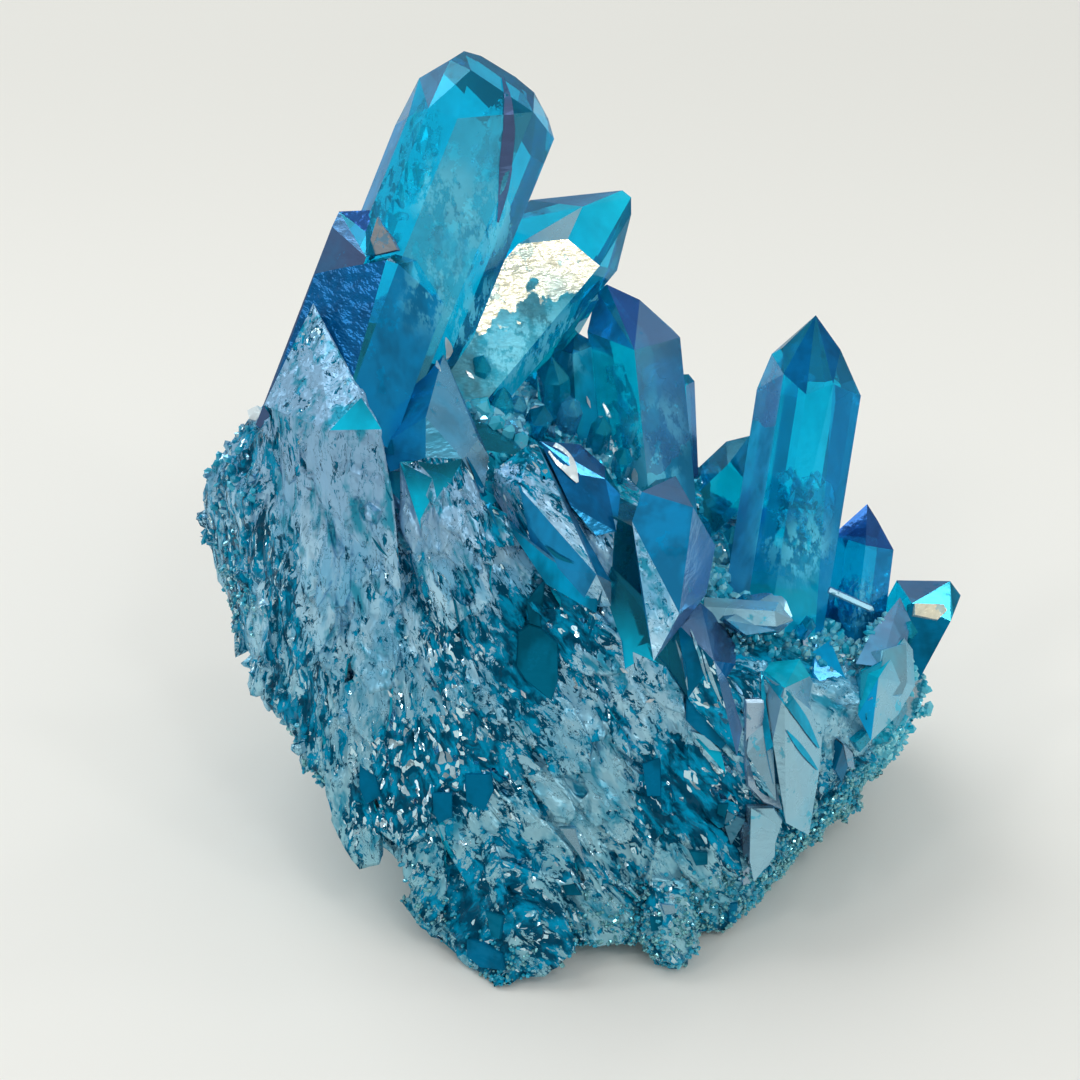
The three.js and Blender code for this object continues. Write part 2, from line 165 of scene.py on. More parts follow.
# Smooth facets and shards on the broken front: look, how far each stands off in mm, and its corners as spots
# in the camera's frame. Each lies on the solid, along the face under it.
SHARDS = [
    ("gold", 0.3, (914, 603), (944, 604), (948, 610), (938, 620), (914, 615)),
    ("glass", 0.3, (546, 577), (539, 613), (541, 628), (529, 624), (526, 601)),
    (
        "glass", 0.4, (529, 624), (541, 628), (558, 643), (558, 681), (552, 702), (526, 681), (516, 666),
        (518, 632),
    ),
    # A painted highlight on the left boss.
    ("painted_glare", 0.3, (247, 410), (257, 405), (262, 413), (256, 421), (249, 419)),
    ("deep", 0.4, (432, 793), (452, 793), (452, 817), (439, 824), (433, 812)),
    ("deep", 0.4, (465, 774), (492, 774), (494, 791), (484, 812), (466, 802)),
    ("deep", 0.4, (359, 763), (373, 765), (381, 796), (366, 805), (359, 788)),
    ("deep", 0.4, (466, 938), (484, 944), (501, 954), (504, 971), (480, 968), (466, 956)),
    ("glass", 0.4, (485, 911), (503, 916), (499, 940), (491, 937)),
    ("pale", 0.7, (559, 828), (575, 828), (586, 866), (580, 856)),
    ("glass", 0.4, (550, 856), (559, 861), (582, 896), (566, 896), (559, 875)),
    ("deep", 0.4, (642, 764), (660, 757), (661, 797), (647, 797)),
    ("deep", 0.4, (687, 700), (715, 700), (727, 722), (731, 740), (722, 750), (696, 731), (686, 721)),
    ("pale", 0.6, (691, 731), (706, 736), (722, 752), (710, 750)),
    ("glass", 0.4, (649, 917), (670, 915), (677, 927), (651, 932)),
    ("pale", 0.5, (661, 904), (679, 906), (677, 913), (665, 915)),
    ("lilac", 0.4, (708, 922), (732, 927), (734, 936), (720, 939), (710, 932)),
    ("deep", 0.4, (729, 904), (738, 903), (736, 924), (729, 922)),
    ("glass", 0.4, (689, 851), (708, 853), (708, 865), (696, 866)),
    ("glass", 0.4, (718, 804), (729, 804), (725, 818), (717, 814)),
    ("slate", 0.4, (727, 811), (746, 820), (731, 846), (724, 825)),
    ("lilac", 0.15, (746, 700), (764, 700), (772, 769), (783, 811), (764, 804), (748, 787), (745, 757)),
    ("pale", 0.15, (748, 807), (774, 807), (783, 821), (774, 849), (770, 866), (753, 882), (748, 821)),
    ("lilac", 0.5, (743, 821), (750, 825), (753, 884), (743, 887)),
    ("cobalt", 0.3, (815, 643), (833, 645), (843, 678), (825, 690), (813, 673)),
    ("teal", 0.4, (860, 673), (883, 660), (877, 682), (868, 700), (867, 720), (860, 697)),
    ("pale", 0.4, (883, 650), (907, 643), (908, 682), (903, 695), (870, 700), (880, 680)),
    ("deep", 0.4, (835, 770), (843, 745), (848, 767), (842, 783)),
    ("lilac", 0.4, (843, 743), (853, 753), (855, 770), (848, 767)),
    ("teal", 0.4, (855, 743), (867, 733), (875, 735), (860, 753)),
    ("teal", 0.4, (892, 713), (907, 702), (908, 710), (898, 727), (893, 725)),
    ("film", 0.4, (503, 520), (546, 556), (600, 592), (596, 614), (546, 585)),
    ("bronze", 0.1, (377, 216), (393, 240), (398, 250), (364, 258)),
]

# Narrow seams that follow the surface: look, width and the spots they pass, all in the camera's frame.
SEAMS = [
    ("dusk", 13, (502, 78), (508, 100), (509, 130), (506, 160), (503, 190), (497, 222)),
    # The painted_glare seams are painted highlights: white glints on faces and broken edges.
    ("painted_glare", 17, (541, 440), (556, 452), (568, 466), (577, 483)),
    ("pale", 3, (676, 640), (684, 665), (688, 690)), ("pale", 3, (690, 630), (700, 655), (708, 685)),
    ("pale", 4, (702, 650), (712, 680), (722, 705)), ("painted_glare", 5, (803, 628), (805, 642), (806, 656)),
    ("painted_glare", 4, (836, 647), (850, 651)), ("painted_glare", 4, (838, 655), (852, 660)),
    ("painted_glare", 8, (769, 645), (776, 656)), ("painted_glare", 4, (620, 668), (628, 673)),
    ("painted_glare", 4, (646, 702), (655, 699)), ("painted_glare", 4, (521, 690), (526, 698)),
    ("painted_glare", 7, (445, 337), (449, 350), (446, 360)), ("painted_glare", 7, (635, 468), (636, 486)),
    ("painted_glare", 4, (466, 371), (474, 379)), ("painted_glare", 3, (497, 393), (508, 398)),
    ("painted_glare", 4, (436, 360), (440, 372)), ("painted_glare", 3, (560, 420), (566, 431)),
    ("painted_glare", 3, (586, 396), (590, 408)), ("painted_glare", 3, (372, 742), (380, 752)),
    ("painted_glare", 3, (452, 712), (460, 722)), ("painted_glare", 3, (478, 757), (490, 761)),
    ("painted_glare", 3, (388, 690), (394, 700)), ("stripe", 11, (763, 672), (785, 696), (802, 720), (818, 748)),
    ("stripe", 6, (786, 730), (803, 752), (817, 770)), ("glass", 3, (449, 575), (456, 608), (466, 660)),
    ("stripe", 8, (761, 672), (766, 723), (771, 757), (781, 812)),
    ("glass", 3, (386, 488), (394, 503), (402, 522), (410, 532)),
    ("deep", 5, (466, 457), (485, 496), (497, 528)), ("deep", 8, (392, 440), (390, 458), (389, 474)),
    ("glass", 3, (372, 536), (380, 548), (388, 556)), ("deep", 4, (602, 590), (596, 612), (588, 640)),
    ("glass", 4, (545, 545), (558, 556), (574, 563)),
]

# Short crystals that lie or stand between the long ones: root, tip, radius and look.
SMALL = [
    ((16.4, 20.8, 31.3), (25.4, 20.2, 31.0), 1.9, "pale"),
    ((29.5, 26.0, 30.4), (34.2, 25.2, 28.4), 0.45, "pale"),
    ((1.6, 37.0, 42), (1.3, 37.5, 51), 2.1, "teal"), ((-4.5, 31, 46), (-3.5, 31, 51.5), 1.6, "teal"),
    ((-1, 32, 45), (0.5, 30.5, 49.5), 1.5, "azure"), ((5.5, 34, 42), (6.5, 32.5, 47), 1.3, "teal"),
    ((21, 33, 27), (20, 32, 34), 1.5, "teal"), ((17, 34, 28), (16.5, 33, 35), 1.3, "azure"),
    ((29.5, 30, 23), (29.5, 28, 29), 1.2, "royal"), ((36.5, 28, 19), (38.5, 27, 25.5), 1.2, "teal"),
    ((-2.8, 41.7, 41.5), (5.4, 42.8, 57.5), 2.0, "teal"), ((-6.5, 33.5, 50), (-5.5, 32, 54.5), 1.2, "teal"),
    ((2.5, 35, 44), (3.5, 33.5, 48.5), 1.4, "milky"), ((-2.5, 33, 46.5), (-2, 31.5, 50), 1.1, "milky"),
    ((8, 32, 40.5), (8.6, 30.5, 44.5), 1.2, "teal"), ((21.5, 24, 28), (20.5, 22, 32.5), 1.0, "azure"),
    ((26.5, 24, 26), (27.5, 22, 29.5), 0.9, "azure"),
]

# Where small crystals crust the root: middle, reach, how many, and how wide one is.
DRUSE = [
    (-32, 32, 42, 6, 60, 0.4), (-31, 28, 30, 5, 120, 0.25), (-23, 18, 16, 4, 200, 0.22),
    (-12, 7, 5, 4, 200, 0.2), (-3, 2, 1, 4, 250, 0.2), (8, 4, 2, 6, 600, 0.22), (16, 6, 3, 6, 600, 0.24),
    (25, 14, 4, 7, 900, 0.26), (33, 22, 6, 7, 1000, 0.26), (38, 28, 12, 6, 600, 0.28),
    (-5, 31, 49.5, 4.5, 150, 0.8), (1, 37, 45.5, 4, 120, 0.7), (6, 33, 43, 3, 90, 0.5),
    (19, 28, 29, 5, 150, 0.6), (20, 20, 29.5, 4, 100, 0.35), (28, 24, 26, 4, 120, 0.4),
    (35, 25, 23, 4, 100, 0.4), (0, 50, 15, 25, 900, 0.5), (39, 35, 10, 10, 300, 0.5),
    (-26, 42, 25, 12, 700, 0.22),
]

# Cracks inside the clear crystals: place of the middle, width, height and lean.
VEILS = [
    (-11.5, 39.5, 73, 4, 8, 0.35), (-6, 39, 71, 4, 11, 0.35), (-14.5, 38.5, 67, 5, 7, 0.35),
    (-8.5, 37.5, 64, 6, 8, 0.3), (0.5, 41, 57, 7, 7, 0.5), (-2, 40, 54, 7, 6, 0.5),
    (8.5, 36.5, 45.5, 4, 9, 0), (9.5, 35.5, 40, 5, 6, 0), (13, 36, 41, 3, 5, 0),
    (27, 33.5, 36, 6, 6, 0.1), (33, 29.5, 26, 4, 6, 0), (4, 37.5, 43, 3, 6, 0),
]

# Frosted places just under the faces of the clear crystals: middle and reach.
FROST = [
    (-9.2, 35.6, 70.6, 3.6), (-5.3, 36.1, 67.5, 4.2), (-10.5, 32.5, 62, 4), (-6, 33.5, 58, 4),
    (2, 37, 53, 4.5), (-3, 34, 54, 4), (12.5, 35, 44, 3.5), (11.7, 33, 41, 3),
    (26, 29, 34, 4), (33, 27, 28, 3),
]

# How a crystal face looks: film colour, share of film, colour of the clear quartz, clearness, roughness and
# hammering.
LOOKS = {
    "azure": ((0.04, 0.42, 0.85), 0.12, (0.0, 0.70, 1.0), 0.88, 0.04, 0.0),
    "royal": ((0.0, 0.20, 0.54), 0.30, (0.0, 0.50, 0.95), 0.80, 0.06, 0.05),
    "navy": ((0.0, 0.13, 0.34), 0.40, (0.0, 0.18, 0.46), 0.20, 0.08, 0.1),
    "purple": ((0.05, 0.13, 0.42), 0.60, (0.02, 0.20, 0.65), 0.60, 0.08, 0.1),
    "mauve": ((0.19, 0.28, 0.46), 0.75, (0.02, 0.34, 0.74), 0.60, 0.16, 0.1),
    "lavender": ((0.30, 0.46, 0.72), 0.75, (0.04, 0.50, 0.85), 0.40, 0.15, 0.1),
    "cobalt": ((0.03, 0.27, 0.55), 0.35, (0.0, 0.30, 0.64), 0.08, 0.10, 0.10),
    "stripe": ((0.02, 0.42, 0.66), 0.30, (0.0, 0.44, 0.70), 0.0, 0.10, 0.1),
    "grey": ((0.20, 0.42, 0.60), 0.75, (0.03, 0.46, 0.80), 0.40, 0.20, 0.1),
    "pale": ((0.36, 0.60, 0.72), 0.90, (0.02, 0.55, 0.78), 0.10, 0.25, 0.1),
    # A painted highlight: near-white, opaque and partly metal, for white glare on facets and broken edges.
    "painted_glare": ((0.85, 0.97, 1.0), 0.4, (0.85, 0.97, 1.0), 0.0, 0.15, 0.2),
    "teal": ((0.02, 0.42, 0.62), 0.20, (0.0, 0.62, 0.84), 0.70, 0.08, 0.1),
    "milky": ((0.16, 0.52, 0.74), 0.40, (0.08, 0.74, 1.0), 0.60, 0.12, 0.1),
    "hammered": ((0.01, 0.12, 0.34), 0.40, (0.0, 0.13, 0.36), 0.15, 0.08, 0.9),
    "gold": ((1.0, 0.94, 0.70), 0.97, (0.0, 0.46, 0.66), 0.10, 0.22, 0.6),
    "bronze": ((0.42, 0.44, 0.46), 0.90, (0.05, 0.3, 0.5), 0.0, 0.20, 0.2),
    "glass": ((0.0, 0.18, 0.30), 0.25, (0.0, 0.16, 0.28), 0.0, 0.08, 0.15),
    "deep": ((0.0, 0.20, 0.38), 0.25, (0.0, 0.17, 0.34), 0.0, 0.08, 0.15),
    "slate": ((0.10, 0.28, 0.40), 0.75, (0.0, 0.22, 0.34), 0.0, 0.22, 0.2),
    "lilac": ((0.40, 0.54, 0.66), 0.90, (0.05, 0.40, 0.60), 0.0, 0.25, 0.1),
    "dusk": ((0.12, 0.17, 0.34), 0.90, (0.0, 0.20, 0.40), 0.0, 0.20, 0.1),
    "film": ((0.14, 0.42, 0.70), 0.75, (0.0, 0.36, 0.66), 0.0, 0.20, 0.1),
    "streaked": ((0.2, 0.4, 0.6), 0.5, (0.01, 0.3, 0.7), 0.3, 0.2, 0.1),
}

# The looks of the faces that the camera sees, by a spot on each in its frame, and the height at which the film
# of some of them ends. A face called "root" gets the root's look.
FACES = [
    (410, 96, "mauve", 74.8), (428, 82, "lavender"), (452, 88, "azure"), (390, 152, "cobalt"),
    (435, 138, "azure"), (480, 180, "milky"), (530, 152, "azure"), (508, 74, "azure"),
    (343, 236, "mauve"), (354, 219, "purple"), (348, 306, "hammered"), (348, 333, "hammered"),
    (404, 314, "cobalt"), (330, 390, "streaked"), (299, 391, "streaked"), (339, 253, "dusk"),
    (433, 486, "root"), (414, 123, "azure"), (482, 99, "azure"), (602, 276, "azure"),
    (564, 361, "stripe"), (586, 405, "stripe"), (603, 324, "cobalt"), (651, 330, "mauve"),
    (877, 569, "royal"), (767, 402, "lavender", 44.5), (816, 406, "azure"), (564, 200, "lavender"),
    (567, 219, "pale"), (544, 222, "azure"), (603, 253, "azure"), (550, 264, "gold", 57.9),
    (586, 309, "cobalt"), (633, 306, "purple"), (613, 377, "teal"), (660, 383, "grey", 40.5),
    (553, 370, "teal"), (768, 377, "lavender", 46.6), (795, 444, "azure"), (824, 456, "azure"),
    (847, 456, "royal"), (806, 356, "navy"), (835, 370, "navy"), (853, 529, "purple"),
    (877, 523, "purple"), (856, 565, "royal"), (886, 544, "purple"), (927, 591, "mauve"),
    (933, 632, "deep"), (930, 661, "slate"), (690, 400, "mauve"), (725, 470, "teal"),
    (633, 528, "cobalt"), (662, 613, "streaked"), (649, 506, "cobalt"), (666, 538, "cobalt"),
    (671, 490, "mauve"), (683, 616, "lavender"), (701, 546, "lavender", 34.5), (569, 478, "cobalt"),
    (575, 452, "mauve"), (583, 471, "cobalt"), (584, 501, "navy"), (598, 487, "navy"),
    (601, 467, "mauve"), (614, 495, "cobalt"), (598, 528, "cobalt"), (530, 450, "cobalt"),
    (511, 502, "streaked"), (550, 548, "cobalt"), (538, 484, "streaked"), (514, 469, "streaked"),
    (576, 584, "cobalt"), (596, 596, "streaked"), (599, 569, "cobalt"), (570, 512, "film"),
    (607, 585, "pale"), (502, 485, "streaked"), (420, 401, "cobalt"), (412, 441, "cobalt"),
    (394, 457, "cobalt"), (408, 422, "cobalt"), (441, 414, "grey"), (468, 438, "grey"),
    (436, 446, "slate"), (477, 459, "pale"), (470, 416, "grey"), (438, 461, "streaked"),
    (691, 651, "deep"), (694, 671, "deep"), (707, 697, "streaked"), (695, 625, "mauve"),
    (710, 619, "mauve"), (735, 724, "lavender"), (725, 649, "mauve"), (726, 668, "navy"),
    (757, 732, "pale"), (762, 754, "pale"), (775, 693, "pale"), (779, 741, "pale"), (795, 811, "pale"),
    (800, 673, "teal"), (781, 675, "teal"), (809, 776, "pale"), (804, 715, "pale"), (802, 690, "pale"),
    (773, 665, "teal"), (826, 653, "royal"), (867, 683, "teal"), (875, 671, "teal"), (867, 713, "royal"),
    (885, 712, "pale"), (904, 649, "pale"), (898, 693, "pale"), (903, 672, "pale"),
    (869, 656, "lavender"), (881, 635, "lavender"), (902, 620, "lavender"), (905, 635, "lavender"),
    (730, 607, "grey"), (764, 613, "pale"), (747, 629, "grey"), (781, 601, "pale"), (787, 616, "pale"),
    (725, 623, "grey"), (760, 848, "grey"), (758, 866, "pale"), (768, 827, "pale"),
]


def look_at(obj, target):
    obj.rotation_euler = (Vector(target) - obj.location).to_track_quat("-Z", "Y").to_euler()


def add_camera():
    data = bpy.data.cameras.new("camera")
    data.sensor_width = 36
    data.angle = math.radians(VIEW_ANGLE)
    data.clip_start = 0.01
    camera = bpy.data.objects.new("camera", data)
    camera.location = VIEW_PLACE * MM
    camera.rotation_euler = (math.radians(90 - VIEW_DOWN), 0, 0)
    scene.collection.objects.link(camera)
    scene.camera = camera


def add_area(name, place, target, size, energy, colour):
    data = bpy.data.lights.new(name, "AREA")
    data.shape = "DISK"
    data.size = size
    data.energy = energy
    data.color = colour
    light = bpy.data.objects.new(name, data)
    light.location = place
    look_at(light, target)
    scene.collection.objects.link(light)


class Tree:
    """Builds a node tree with few words."""

    def __init__(self, owner):
        owner.use_nodes = True
        self.tree = owner.node_tree
        self.tree.nodes.clear()

    def node(self, kind, inputs=None, **settings):
        made = self.tree.nodes.new(kind)
        for name, value in settings.items():
            setattr(made, name, value)
        for key, value in (inputs or {}).items():
            self.set(made.inputs[key], value)
        return made

    def set(self, socket, value):
        if isinstance(value, bpy.types.NodeSocket):
            self.tree.links.new(value, socket)
        else:
            socket.default_value = value

    def math(self, operation, a, b=0.0, clamp=False):
        return self.node("ShaderNodeMath", {0: a, 1: b}, operation=operation, use_clamp=clamp).outputs[0]

    def add(self, a, b):
        return self.math("ADD", a, b)

    def minus(self, a, b, clamp=False):
        return self.math("SUBTRACT", a, b, clamp)

    def times(self, a, b, clamp=False):
        return self.math("MULTIPLY", a, b, clamp)

    def vector(self, operation, a, b):
        return self.node("ShaderNodeVectorMath", {0: a, 1: b}, operation=operation).outputs[0]

    def scaled(self, a, scale):
        return self.node("ShaderNodeVectorMath", {0: a, "Scale": scale}, operation="SCALE").outputs[0]

    def span(self, value, low, high, to_low=0.0, to_high=1.0):
        inputs = {"Value": value, "From Min": low, "From Max": high, "To Min": to_low, "To Max": to_high}
        return self.node("ShaderNodeMapRange", inputs, interpolation_type="SMOOTHSTEP").outputs[0]

    def mix(self, share, a, b):
        inputs = {0: share, 6: a, 7: b}
        return self.node("ShaderNodeMix", inputs, data_type="RGBA").outputs[2]

    def blend(self, share, a, b):
        return self.node("ShaderNodeMix", {0: share, 2: a, 3: b}, data_type="FLOAT").outputs[0]

    def attribute(self, name):
        return self.node("ShaderNodeAttribute", attribute_name=name)

    def number(self, name):
        return self.attribute(name).outputs["Fac"]

    def place(self):
        return self.node("ShaderNodeTexCoord").outputs["Object"]

    def inside(self):
        """1 on the inner side of a face and 0 on its outer side."""
        return self.node("ShaderNodeNewGeometry").outputs["Backfacing"]

    def part_of(self, vector, axis):
        return self.node("ShaderNodeSeparateXYZ", {0: vector}).outputs[axis]

    def noise(self, vector, scale, detail=3.0, roughness=0.55):
        inputs = {"Vector": vector, "Scale": scale, "Detail": detail, "Roughness": roughness}
        return self.node("ShaderNodeTexNoise", inputs).outputs[0]

    def bump(self, height, distance, strength):
        inputs = {"Strength": strength, "Distance": distance, "Height": height}
        return self.node("ShaderNodeBump", inputs).outputs[0]

    def end(self, inputs, volume=None):
        """Finishes a material with a principled shader and, where given, a volume."""
        shader = self.node("ShaderNodeBsdfPrincipled", inputs)
        output = self.node("ShaderNodeOutputMaterial", {"Surface": shader.outputs[0]})
        if volume is not None:
            self.set(output.inputs["Volume"], volume)


def cad_triangles(node):
    """The CAD node's corners, joined where they meet, in mm, and its triangles."""
    data = node.data
    data.calc_loop_triangles()
    corners = np.array([v.co for v in data.vertices]) / MM
    _, first, joined = np.unique(np.round(corners, 3), axis=0, return_index=True, return_inverse=True)
    triangles = joined.reshape(-1)[np.array([t.vertices for t in data.loop_triangles])]
    whole = (triangles[:, 0] != triangles[:, 1]) & (triangles[:, 1] != triangles[:, 2])
    whole &= triangles[:, 2] != triangles[:, 0]
    return corners[first], triangles[whole]


def ray_tree(points, triangles):
    return BVHTree.FromPolygons(points.tolist(), triangles.tolist())


def normals_of(points, triangles):
    a, b, c = (points[triangles[:, i]] for i in range(3))
    normals = np.cross(b - a, c - a)
    return normals / (norm(normals, axis=1, keepdims=True) + 1e-12)


def refine(points, triangles, tags, edges_of, sizes):
    """Halves every edge that is longer than the size wanted beside it."""
    most_rounds = 12
    for _ in range(most_rounds):
        pairs = np.sort(triangles[:, [[0, 1], [1, 2], [2, 0]]], axis=2).reshape(-1, 2)
        keys, back = np.unique(pairs[:, 0] * len(points) + pairs[:, 1], return_inverse=True)
        edges = np.stack([keys // len(points), keys % len(points)], 1)
        limit = np.full(len(edges), np.inf)
        np.minimum.at(limit, back, np.repeat(sizes[tags], 3))
        long = norm(points[edges[:, 0]] - points[edges[:, 1]], axis=1) > limit
        if not long.any():
            break
        middle = np.full(len(edges), -1)
        middle[long] = len(points) + np.arange(long.sum())
        points = np.concatenate([points, points[edges[long]].mean(1)])
        mids = middle[back].reshape(-1, 3)
        split = (mids >= 0).sum(1)
        turn = np.where(split == 1, (mids >= 0).argmax(1), 0)
        turn = np.where(split == 2, ((mids < 0).argmax(1) + 1) % 3, turn)
        order = (turn[:, None] + np.arange(3)) % 3
        a, b, c = np.take_along_axis(triangles, order, 1).T
        ab, bc, ca = np.take_along_axis(mids, order, 1).T
        to_middle = norm(points[a] - points[bc], axis=1)
        near = to_middle < norm(points[ab] - points[c], axis=1)
        parts = [
            (split == 0, (a, b, c)),
            (split == 1, (a, ab, c)), (split == 1, (ab, b, c)),
            (split == 2, (ab, b, bc)),
            ((split == 2) & near, (a, ab, bc)), ((split == 2) & near, (a, bc, c)),
            ((split == 2) & ~near, (a, ab, c)), ((split == 2) & ~near, (ab, bc, c)),
            (split == 3, (a, ab, ca)), (split == 3, (ab, b, bc)), (split == 3, (ca, bc, c)),
            (split == 3, (ab, bc, ca)),
        ]
        triangles = np.concatenate([np.stack(corners, 1)[mask] for mask, corners in parts])
        tags = np.concatenate([tags[mask] for mask, _ in parts])
        edges_of = np.concatenate([edges_of[mask] for mask, _ in parts])
    return points, triangles, tags, edges_of


def beside_axis(points, root, tip):
    """A crystal's axis and length, and how far each point is below its tip and off its axis."""
    axis = np.subtract(tip, root)
    length = norm(axis)
    axis = axis / length
    below = (np.array(tip) - points) @ axis
    away = norm(points - np.array(tip) + below[:, None] * axis, axis=1)
    return axis, length, below, away


def depth_down(points):
    """How far down its crystal each point is, from 0 at the tip to 1 at the root."""
    down = np.ones(len(points))
    for root, tip, radius in CRYSTALS.values():
        _, length, below, away = beside_axis(points, root, tip)
        found = (away < radius * 1.15) & (below < length)
        down = np.where(found, np.minimum(down, np.clip(below / length, 0, 1)), down)
    return down


def bare_ground_and_painted_light_share(points):
    """How much each point belongs to the ground between the long crystals, from 0 to 1, where the film is
    thinner and painted light brightens the quartz in its shade.
    """
    share = np.zeros(len(points))
    for root, tip, radius in CRYSTALS.values():
        start = np.array(root) + 0.15 * np.subtract(tip, root)
        away = norm(points - start, axis=1)
        share = np.maximum(share, np.clip(1.9 - away / (radius * 1.1), 0, 1))
    front = 22 - 5 * np.clip((points[:, 0] - 14) / 3, 0, 1)
    return share * np.clip((points[:, 1] - front) / 4, 0, 1) * np.clip((points[:, 0] + 16) / 3, 0, 1)


def frost_share(points):
    """How frosted each point is, from 0 to 1."""
    spots = np.array(FROST)
    away = norm(points[:, None] - spots[:, :3], axis=2)
    return np.exp(-((away / spots[:, 3]) ** 4)).max(1)


def crystal_faces(points, triangles, normals):
    """Which triangles lie on the long crystals."""
    middle = points[triangles].mean(1) + SHIFT
    clear = np.zeros(len(triangles), bool)
    for root, tip, radius in CRYSTALS.values():
        axis, length, below, away = beside_axis(middle, root, tip)
        slope = normals @ axis
        side = (np.abs(slope) < 0.14) & (below < length * 1.1)
        cap = (slope > 0.14) & (below < radius * 1.5)
        clear |= (side | cap) & (away < radius) & (below > -1.5)
    return clear


def view_rays(spots):
    """The directions from the camera to spots of its frame."""
    half = VIEW_FRAME / 2
    reach = half / math.tan(math.radians(VIEW_ANGLE / 2))
    rays = [VIEW_FORWARD * reach + np.array([u - half, 0, 0]) - VIEW_UP * (v - half) for u, v in spots]
    return [ray / norm(ray) for ray in rays]


def seen_faces(points, triangles, normals):
    """The number of the look that each triangle has, -1 for none and -2 for the root's, and how far down its
    film goes. A look spreads over the flat face that its spot is on."""
    tree = ray_tree(points, triangles)
    neighbours = {}
    for number, triangle in enumerate(triangles.tolist()):
        for k in range(3):
            neighbours.setdefault(frozenset((triangle[k], triangle[k - 1])), []).append(number)
    names = list(LOOKS)
    looks = np.full(len(triangles), -1)
    edges = np.full(len(triangles), NO_EDGE)
    for ray, (_, _, look, *edge) in zip(view_rays([face[:2] for face in FACES]), FACES):
        hit = tree.ray_cast(Vector(VIEW_PLACE), Vector(ray))[2]
        if hit is None:
            continue
        waiting = [hit]
        found = {hit}
        while waiting:
            at = waiting.pop()
            looks[at] = names.index(look) if look in LOOKS else -2
            edges[at] = edge[0] if edge else NO_EDGE
            for k in range(3):
                for near in neighbours[frozenset((triangles[at, k], triangles[at, k - 1]))]:
                    if near not in found and normals[near] @ normals[hit] > 0.998:
                        found.add(near)
                        waiting.append(near)
    return looks, edges


def grain_space(points):
    """Points squeezed along the grain: upright on the left of the front, down to the right elsewhere."""
    turn = np.clip((points[:, 0] + 16) / 20, 0, 1)
    turn = turn * turn * (3 - 2 * turn)
    grain = np.stack([0.1 + 0.65 * turn, 0 * turn, -np.ones(len(points))], 1)
    grain /= norm(grain, axis=1, keepdims=True)
    local = points - np.array([-6.0, 20.0, 28.0])
    along = (local * grain).sum(1, keepdims=True)
    return points - grain * along * (1 - 1 / STRETCH)


def plates(points, size, tilt, rise, seed):
    """Heights of broken plates over the points, each a flat cell with its own tilt, and the cell's number."""
    random = np.random.default_rng(seed)
    low = points.min(0) - size
    count = np.ceil((points.max(0) + size - low) / size).astype(int) + 1
    jitter = random.random((*count, 3))
    slope = random.normal(size=(*count, 3)) * tilt
    lift = random.uniform(-1, 1, count) * rise
    mark = random.random(count)
    cell = np.floor((points - low) / size).astype(int)
    best = np.full(len(points), np.inf)
    height = np.zeros(len(points))
    number = np.zeros(len(points))
    for offset in itertools.product((-1, 0, 1), repeat=3):
        near = tuple(np.clip(cell + offset, 0, count - 1).T)
        arm = points - low - (np.stack(near, 1) + jitter[near]) * size
        reach = (arm**2).sum(1)
        closer = reach < best
        best = np.where(closer, reach, best)
        height = np.where(closer, lift[near] + (slope[near] * arm).sum(1), height)
        number = np.where(closer, mark[near], number)
    return height, number


def smoothed(values, triangles, count, rounds):
    """Averages values over neighbouring corners."""
    pairs = triangles[:, [[0, 1], [1, 2], [2, 0]]].reshape(-1, 2)
    pairs = np.concatenate([pairs, pairs[:, ::-1]])
    share = np.bincount(pairs[:, 0], minlength=count)[:, None]
    for _ in range(rounds):
        sums = [np.bincount(pairs[:, 0], column, count) for column in values[pairs[:, 1]].T]
        values = 0.5 * values + 0.5 * np.stack(sums, 1) / np.maximum(share, 1)
    return values


def make_mesh(name, points, triangles, material_index=None, rounded=None):
    """A Blender object from corners in mm. Its faces are flat, apart from the rounded ones."""
    data = bpy.data.meshes.new(name)
    data.vertices.add(len(points))
    data.vertices.foreach_set("co", (points * MM).astype(np.float32).ravel())
    data.loops.add(len(triangles) * 3)
    data.loops.foreach_set("vertex_index", triangles.astype(np.int32).ravel())
    data.polygons.add(len(triangles))
    data.polygons.foreach_set("loop_start", np.arange(len(triangles), dtype=np.int32) * 3)
    if material_index is not None:
        data.polygons.foreach_set("material_index", material_index.astype(np.int32))
    if rounded is None:
        rounded = np.zeros(len(triangles), bool)
    data.polygons.foreach_set("use_smooth", rounded)
    data.update(calc_edges=True)
    obj = bpy.data.objects.new(name, data)
    scene.collection.objects.link(obj)
    return obj


def give(obj, name, values, domain="POINT", kind="FLOAT"):
    """Stores a number, a vector or a colour per corner or face."""
    field = {"FLOAT": "value", "FLOAT_VECTOR": "vector", "FLOAT_COLOR": "color"}[kind]
    attribute = obj.data.attributes.new(name, kind, domain)
    attribute.data.foreach_set(field, values.astype(np.float32).ravel())


def give_looks(obj, rows, tags):
    """Stores the look of each face, from rows like those of LOOKS."""
    give(obj, "film", np.array([(*row[0], row[1]) for row in rows])[tags], "FACE", "FLOAT_COLOR")
    give(obj, "tint", np.array([(*row[2], row[3]) for row in rows])[tags], "FACE", "FLOAT_COLOR")
    give(obj, "rough", np.array([row[4] for row in rows])[tags], "FACE")
    give(obj, "hammer", np.array([row[5] for row in rows])[tags], "FACE")


def film_cover(points):
    """How much more or less film there is than usual."""
    cover = np.zeros(len(points))
    for x, z, reach, amount, *back in FILM_PATCHES:
        held = points[:, 1] > back[0] if back else 1.0
        away = (points[:, 0] - x) ** 2 + (points[:, 2] - z) ** 2
        cover += held * amount * np.exp(-((away / reach**2) ** 1.5))
    return cover


